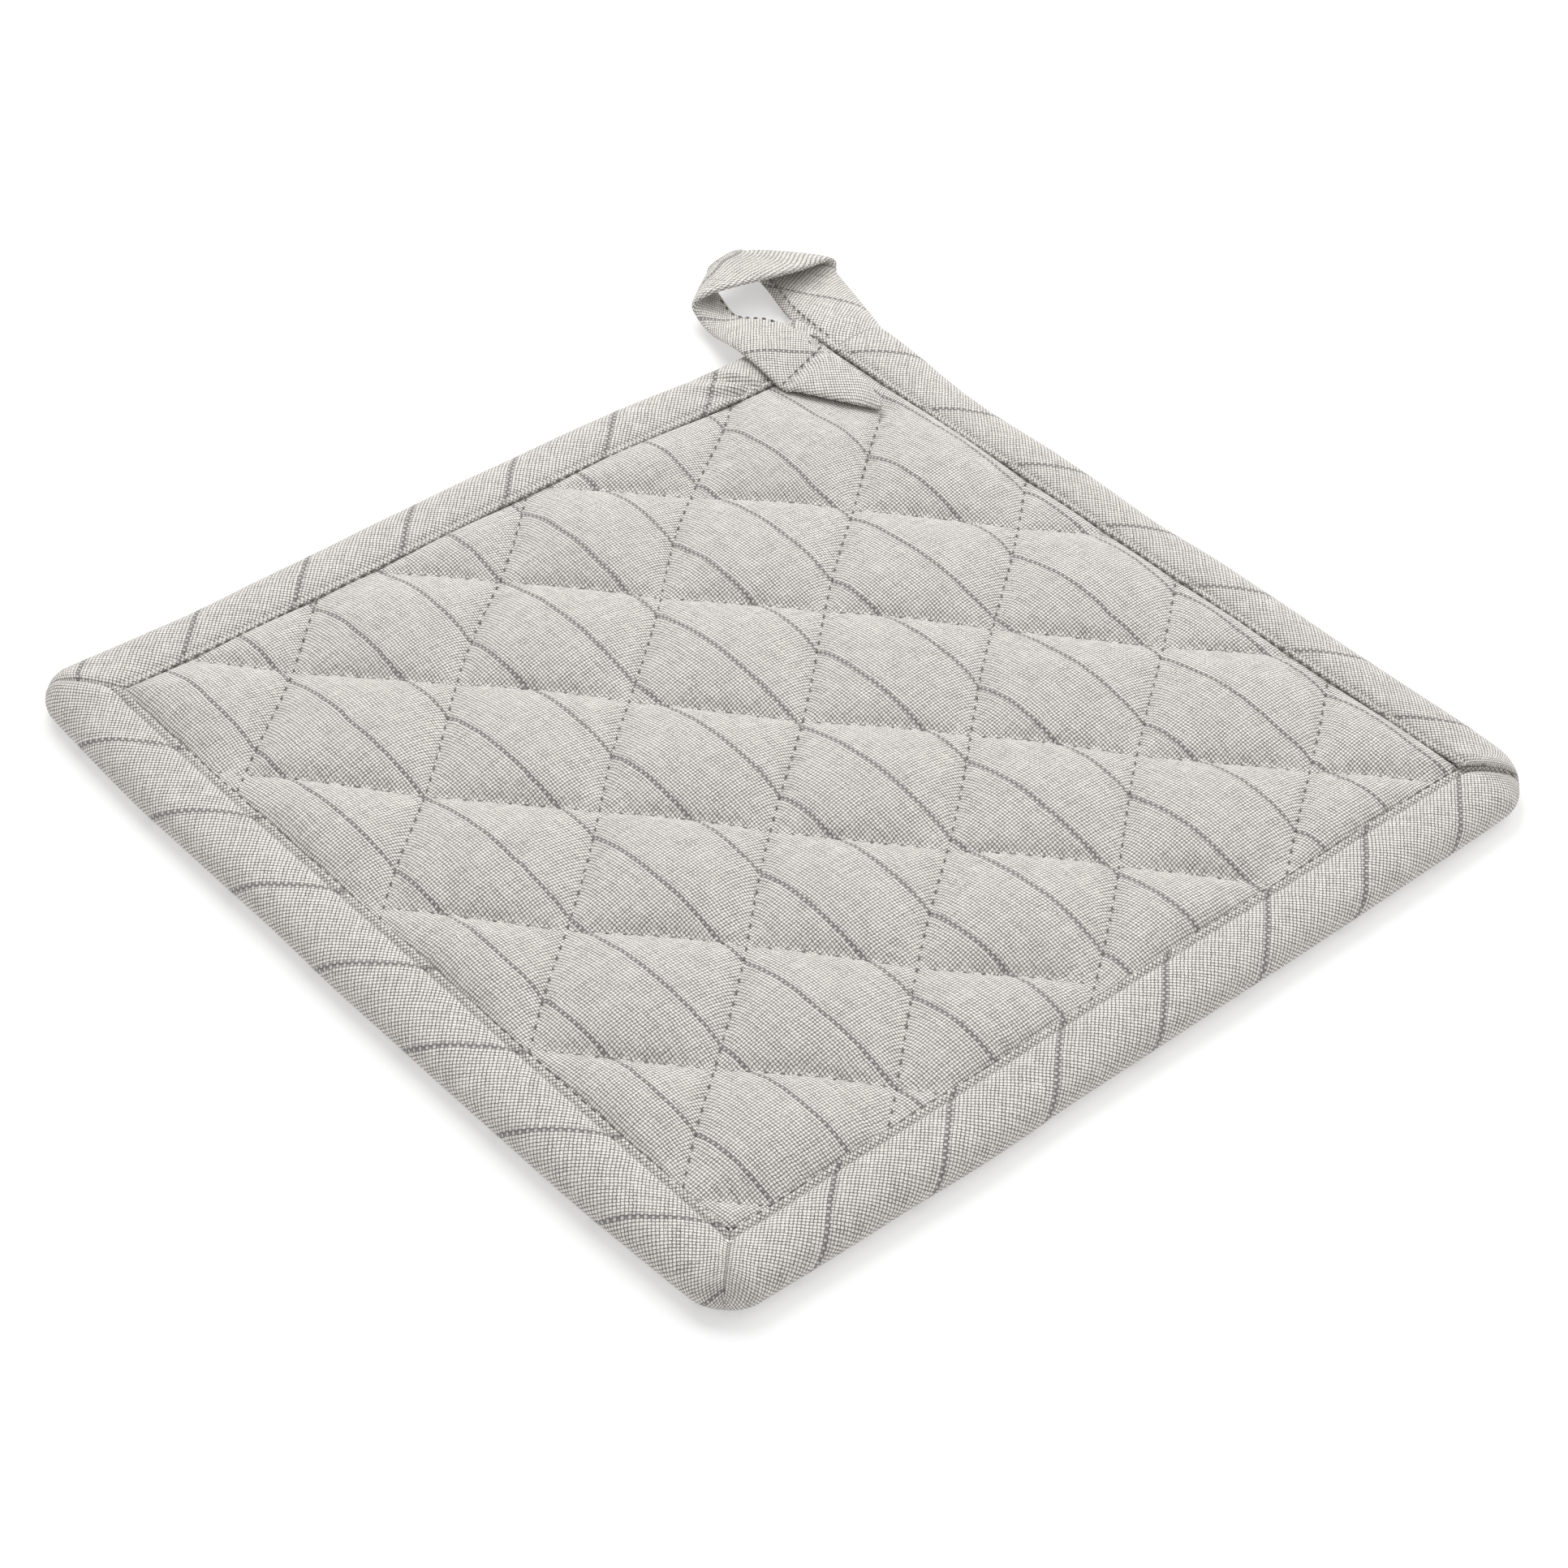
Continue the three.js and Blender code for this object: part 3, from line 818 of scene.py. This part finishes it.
def stripedCloth(name, tint):
    m = Nodes(name)
    uvNode = m.tree.nodes.new("ShaderNodeUVMap")
    uvNode.uv_map = "clothUV"
    split = m.tree.nodes.new("ShaderNodeSeparateXYZ")
    m.tree.links.new(uvNode.outputs["UV"], split.inputs[0])
    u, v = split.outputs["X"], split.outputs["Y"]
    # hand of the cloth: the threads wander a little
    drift = m.noise(uvNode.outputs["UV"], 90.0, 2.0)
    driftShift = m.calc("MULTIPLY", m.calc("SUBTRACT", drift, 0.5), weave["wander"])
    uw = m.calc("ADD", u, driftShift)
    vw = m.calc("SUBTRACT", v, driftShift)
    rate = math.pi / weave["pitch"]
    su = m.calc("SINE", m.calc("MULTIPLY", uw, rate))
    sv = m.calc("SINE", m.calc("MULTIPLY", vw, rate))
    over = m.calc("MULTIPLY", su, sv)
    warpOnTop = m.between(over, -0.12, 0.12)
    absU = m.calc("ABSOLUTE", su)
    absV = m.calc("ABSOLUTE", sv)
    warpCrown = m.calc("MULTIPLY", m.calc("POWER", absU, 0.75), m.calc("POWER", absV, 0.3))
    weftCrown = m.calc("MULTIPLY", m.calc("POWER", absU, 0.3), m.calc("POWER", absV, 0.75))
    crownA = m.calc("MULTIPLY", warpCrown, warpOnTop)
    crownB = m.calc("MULTIPLY", weftCrown, m.calc("SUBTRACT", 1.0, warpOnTop))
    crown = m.calc("ADD", crownA, crownB)
    # every thread has its own shade, and it changes slowly along the thread
    per = 1.0 / weave["pitch"]
    perAlong = per * 0.10
    warpPlace = m.vector(m.calc("MULTIPLY", uw, per), m.calc("MULTIPLY", vw, perAlong))
    weftPlace = m.vector(m.calc("MULTIPLY", uw, perAlong), m.calc("MULTIPLY", vw, per), 7.0)
    warpShade = m.noise(warpPlace, 1.0, 2.0, 0.7)
    weftShade = m.noise(weftPlace, 1.0, 2.0, 0.7)
    shadeMix = m.calc("ADD", m.calc("MULTIPLY", warpShade, warpOnTop),
                      m.calc("MULTIPLY", weftShade, m.calc("SUBTRACT", 1.0, warpOnTop)))
    fleck = m.noise(m.vector(m.calc("MULTIPLY", uw, per), m.calc("MULTIPLY", vw, per)), 1.7, 3.0, 0.7)
    shade = m.calc("ADD", m.calc("MULTIPLY", m.calc("SUBTRACT", shadeMix, 0.5), 1.5),
                   m.calc("MULTIPLY", m.calc("SUBTRACT", fleck, 0.5), 1.2))
    # painted shade: where the threads dip under each other the crown falls away and the colour goes dark; the
    # noise added on top is each thread's own tone
    gapShadeAndThreadTone = m.calc("ADD", m.calc("ADD", -0.16, m.calc("MULTIPLY", crown, 1.3)), shade, clamp=True)
    light = tuple(c * t for c, t in zip(weave["light"][:3], tint)) + (1,)
    dark = tuple(c * t for c, t in zip(weave["dark"][:3], tint)) + (1,)
    ground = m.mixColour(gapShadeAndThreadTone, dark, light)
    # woven stripe: a few darker warp threads, partly covered by the weft
    across = m.calc("ABSOLUTE", m.calc("SUBTRACT", m.calc("FRACT", m.calc(
        "ADD", m.calc("DIVIDE", uw, stripe["repeat"]), 0.5)), 0.5))
    across = m.calc("MULTIPLY", across, stripe["repeat"])
    inStripe = m.between(across, 0.35 * weave["stripeWidth"], 0.75 * weave["stripeWidth"], 1.0, 0.0)
    covered = m.calc("ADD", 0.28, m.calc("MULTIPLY", warpOnTop, 0.55))
    stripeMix = m.calc("MULTIPLY", inStripe, covered, clamp=True)
    colour = m.mixColour(stripeMix, ground, weave["stripe"])
    m.plug(m.shader.inputs["Base Color"], colour)
    rough = m.between(gapShadeAndThreadTone, 0.0, 1.0, 0.97, 0.86)
    m.plug(m.shader.inputs["Roughness"], rough)
    m.shader.inputs["Specular IOR Level"].default_value = 0.18
    m.shader.inputs["Sheen Weight"].default_value = 0.12
    m.shader.inputs["Sheen Roughness"].default_value = 0.6
    fuzz = m.noise(uvNode.outputs["UV"], 3200.0, 2.0, 0.6)
    relief = m.calc("ADD", crown, m.calc("MULTIPLY", fuzz, 0.35))
    bump = m.tree.nodes.new("ShaderNodeBump")
    bump.inputs["Distance"].default_value = weave["bump"]
    bump.inputs["Strength"].default_value = 0.8
    m.plug(bump.inputs["Height"], relief)
    m.plug(m.shader.inputs["Normal"], bump.outputs["Normal"])
    return m.material


def sewingThread(name, colour):
    m = Nodes(name)
    place = m.tree.nodes.new("ShaderNodeTexCoord").outputs["Object"]
    twist = m.noise(place, 5200.0, 2.0, 0.6)
    shade = m.noise(place, 420.0, 1.0)
    mix = m.calc("ADD", m.calc("MULTIPLY", twist, 0.6), m.calc("MULTIPLY", shade, 0.4), clamp=True)
    light = tuple(min(1.0, c * 1.25) for c in colour) + (1,)
    dark = tuple(c * 0.7 for c in colour) + (1,)
    m.plug(m.shader.inputs["Base Color"], m.mixColour(mix, dark, light))
    m.plug(m.shader.inputs["Roughness"], m.between(twist, 0.3, 0.7, 0.7, 0.9))
    m.shader.inputs["Specular IOR Level"].default_value = 0.25
    bump = m.tree.nodes.new("ShaderNodeBump")
    bump.inputs["Distance"].default_value = 0.05 * mm
    m.plug(bump.inputs["Height"], twist)
    m.plug(m.shader.inputs["Normal"], bump.outputs["Normal"])
    return m.material


def fibreWadding(name):
    m = Nodes(name)
    place = m.tree.nodes.new("ShaderNodeTexCoord").outputs["Object"]
    clumps = m.noise(place, 140.0, 4.0, 0.7)
    fibres = m.noise(place, 2600.0, 3.0, 0.7)
    mix = m.calc("ADD", m.calc("MULTIPLY", clumps, 0.6), m.calc("MULTIPLY", fibres, 0.4), clamp=True)
    m.plug(m.shader.inputs["Base Color"], m.mixColour(mix, (0.78, 0.76, 0.72, 1), (0.93, 0.92, 0.89, 1)))
    m.plug(m.shader.inputs["Roughness"], m.between(fibres, 0.2, 0.8, 0.9, 1.0))
    bump = m.tree.nodes.new("ShaderNodeBump")
    bump.inputs["Distance"].default_value = 0.4 * mm
    m.plug(bump.inputs["Height"], mix)
    m.plug(m.shader.inputs["Normal"], bump.outputs["Normal"])
    return m.material


print("dyeing: cloth, wadding and thread")
faceCloth = stripedCloth("faceCloth", (1.0, 1.0, 1.0))
backCloth = stripedCloth("backCloth", (0.99, 0.985, 0.98))
bindingCloth = stripedCloth("bindingCloth", (0.985, 0.98, 0.975))
waddingFibre = fibreWadding("waddingFibre")
quiltingThread = sewingThread("quiltingThread", (0.21, 0.20, 0.19))
quiltingThreadPale = sewingThread("quiltingThreadPale", (0.30, 0.288, 0.275))
# the seam thread is painted darker than the real thread: its stitches are partly thread and partly painted
# shade of the needle holes, the puckers and the ditch beside the binding's lip
seamThreadAndHoleShade = sewingThread("seamThreadAndHoleShade", (0.18, 0.172, 0.165))

facePanel.data.materials.append(faceCloth)
backPanel.data.materials.append(backCloth)
binding.data.materials.append(bindingCloth)
loopTape.data.materials.append(bindingCloth)
wadding.data.materials.append(waddingFibre)

# sewing
quiltStitch = {"Pitch": quilt["stitchPitch"], "Stitch length": 1.2 * mm, "Thread width": 0.42 * mm}
stitchLift = {"a": -0.14 * mm, "b": 0.1 * mm}  # the a lines are pulled in tighter
seamStitch = {"Pitch": 2.6 * mm, "Stitch length": 1.45 * mm, "Thread width": 0.5 * mm}


def quiltingPaths(line):
    # where the line crosses the face and the back, between the bound edges
    reach = 160 * mm  # past the corners of the pad
    s = np.arange(-reach, reach, quilt["stitchPitch"] / 2)
    off = lineWobble(line, s)
    x = line["middle"][0] + line["along"][0] * s + line["across"][0] * off
    y = line["middle"][1] + line["along"][1] * s + line["across"][1] * off
    keep = np.maximum(np.abs(x), np.abs(y)) < innerHalf - 0.6 * mm
    x, y = x[keep], y[keep]
    low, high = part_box("loop_end")
    # no stitches under the loop's slanted end
    underLoop = (x > low.x - 1 * mm) & (y - low.y > 1.73 * (high.x - 5 * mm - x))
    x, y = x[~underLoop], y[~underLoop]
    side = line["across"] * 0.45 * mm  # a stitch rests on both banks of its groove
    top = (faceHeight(x + side[0], y + side[1]) + faceHeight(x - side[0], y - side[1])) / 2
    under = (backHeight(x + side[0], y + side[1]) + backHeight(x - side[0], y - side[1])) / 2
    lift = stitchLift[line["name"][-2]]
    return (
        drawIn(np.stack((x, y, top + lift), axis=-1)),
        drawIn(np.stack((x, y, under - lift), axis=-1)),
    )


quiltSeams = []
for family in "ab":
    for line in quiltLines[family]:
        thread = quiltingThread if family == "b" else quiltingThreadPale
        seam = sewAlong(line["name"] + "_stitches", quiltingPaths(line), quiltStitch, thread)
        quiltSeams.append((seam, line))
print("sewn:", len(quiltSeams), "quilting lines")


# The seam round the binding, on its face and its back: distance in from the edge in binding widths,
# level in strip heights, and where it starts and stops beside the loop.
bindingSeamRuns = (
    {"inset": 1.012, "level": 0.87, "start": 74 * mm, "stop": 99 * mm},
    {"inset": 0.93, "level": 0.20, "start": 92 * mm, "stop": 99 * mm},
)


def bindingSeamPath(run):
    inset = padHalf - run["inset"] * bindingWidth
    level = run["level"] * strip["height"]
    start, stop = (run["start"], inset), (inset, run["stop"])
    corners = [start, (-inset, inset), (-inset, -inset), (inset, -inset), stop]
    points = []
    for (x0, y0), (x1, y1) in zip(corners[:-1], corners[1:]):
        steps = int(math.hypot(x1 - x0, y1 - y0) / (3 * mm))
        for i in range(steps):
            points.append((x0 + (x1 - x0) * i / steps, y0 + (y1 - y0) * i / steps, level))
    points.append((*corners[-1], level))
    return drawIn(np.array(points))


bindingSeamPaths = [bindingSeamPath(run) for run in bindingSeamRuns]
bindingSeam = sewAlong("binding_seam", bindingSeamPaths, seamStitch, seamThreadAndHoleShade)

# Stitches along the tape: from which station to which, and the distance in from its inner edge.
loopEdgeRuns = (
    {"first": 6, "last": 58, "inset": 1.8 * mm},
    {"first": 112, "last": 138, "inset": 1.9 * mm},
)


def loopEdgePath(run):
    rows = slice(run["first"], run["last"])
    sideways = tape["across"][rows] * (tape["width"][rows, None] - run["inset"])
    lift = tape["thickness"][rows, None] * 0.44 + 0.12 * mm
    return tape["outer"][rows] + sideways + tape["facing"][rows] * lift


loopEdge = sewAlong("loop_edge_stitches", [loopEdgePath(run) for run in loopEdgeRuns], seamStitch, seamThreadAndHoleShade)

# The seam across the loop's end, in mm.
tack = {"from": (75.8, 86.6), "to": (90.8, 91.6), "level": 9.15, "steps": 8}


def tackPath():
    start = Vector((*tack["from"], 0)) * mm
    end = Vector((*tack["to"], 0)) * mm
    points = [start.lerp(end, i / tack["steps"]) for i in range(tack["steps"] + 1)]
    return np.array([(p.x, p.y, tack["level"] * mm) for p in points])


loopTack = sewAlong("loop_tack_stitches", (tackPath(),), seamStitch, seamThreadAndHoleShade)


def bendAtFold(piece):
    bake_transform(piece)


for piece, nodes, slotName in (
    (facePanel, ("face_panel_lower", "face_panel_upper"), "face_cloth"),
    (backPanel, ("back_panel_lower", "back_panel_upper"), "back_cloth"),
    (wadding, ("wadding_lower", "wadding_upper"), "wadding"),
    (binding, ("binding_bottom", "binding_left_lower", "binding_left_upper", "binding_right_lower",
               "binding_right_upper", "binding_top"), "binding_cloth"),
    (bindingSeam, ("binding_seam_lower", "binding_seam_upper", "binding_seam_right"), "binding_thread"),
):
    bendAtFold(piece)
    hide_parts(*nodes)

for seam, line in quiltSeams:
    bendAtFold(seam)
    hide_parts(*line["nodes"])

for piece, nodes, slotName in (
    (loopTape, ("hanging_loop", "loop_end"), "binding_cloth"),
    (loopEdge, (), "binding_thread"),
):
    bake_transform(piece)
    if nodes:
        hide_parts(*nodes)

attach(loopTack, "upper_half")
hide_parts("loop_tack_seam")

# studio
studio = {
    "azimuth": -42.12,
    "elevation": 41.42,
    "roll": 1.54,
    "aim": (-10.15 * mm, -11.97 * mm, 5.0 * mm),
    "distance": 729 * mm,
    "lens": 84.75,
}


def aimedAt(location, target, roll=0.0):
    back = (Vector(location) - Vector(target)).normalized()
    turn = back.to_track_quat("Z", "Y").to_matrix()
    return (turn @ Matrix.Rotation(roll, 3, "Z")).to_euler()


def direction(azimuth, elevation):
    a, e = math.radians(azimuth), math.radians(elevation)
    return Vector((math.sin(a) * math.cos(e), -math.cos(a) * math.cos(e), math.sin(e)))


def addCamera():
    data = bpy.data.cameras.new("camera")
    data.lens = studio["lens"]
    data.sensor_width = 36
    camera = bpy.data.objects.new("camera", data)
    bpy.context.scene.collection.objects.link(camera)
    target = Vector(studio["aim"])
    camera.location = target + direction(studio["azimuth"], studio["elevation"]) * studio["distance"]
    camera.rotation_euler = aimedAt(camera.location, target, math.radians(studio["roll"]))
    data.clip_start = 0.01
    data.clip_end = 20
    bpy.context.scene.camera = camera


def addFloor():
    bpy.ops.mesh.primitive_plane_add(size=12)
    floor = bpy.context.object
    floor.name = "floor"
    m = Nodes("floorPaper")
    m.shader.inputs["Base Color"].default_value = (0.68, 0.68, 0.68, 1)
    m.shader.inputs["Roughness"].default_value = 0.9
    m.shader.inputs["Emission Color"].default_value = (1, 1, 1, 1)
    m.shader.inputs["Emission Strength"].default_value = 0.35
    floor.data.materials.append(m.material)


def addSoftbox(name, azimuth, elevation, distance, size, power):
    data = bpy.data.lights.new(name, "AREA")
    data.shape = "DISK"
    data.size = size
    data.energy = power
    light = bpy.data.objects.new(name, data)
    bpy.context.scene.collection.objects.link(light)
    light.location = direction(azimuth, elevation) * distance
    light.rotation_euler = aimedAt(light.location, (0, 0, 0))


def addWorld():
    world = bpy.data.worlds.new("studioAir")
    world.use_nodes = True
    world.node_tree.nodes["Background"].inputs["Color"].default_value = (1.0, 1.0, 1.0, 1)
    world.node_tree.nodes["Background"].inputs["Strength"].default_value = 0.62
    bpy.context.scene.world = world


print("studio: camera, floor and lights")
addCamera()
addFloor()
addWorld()
addSoftbox("backSoftbox", 158, 46, 1.5, 1.0, 13)
addSoftbox("sideSoftbox", 88, 36, 1.7, 1.6, 11)
bpy.context.scene.view_settings.view_transform = "Standard"
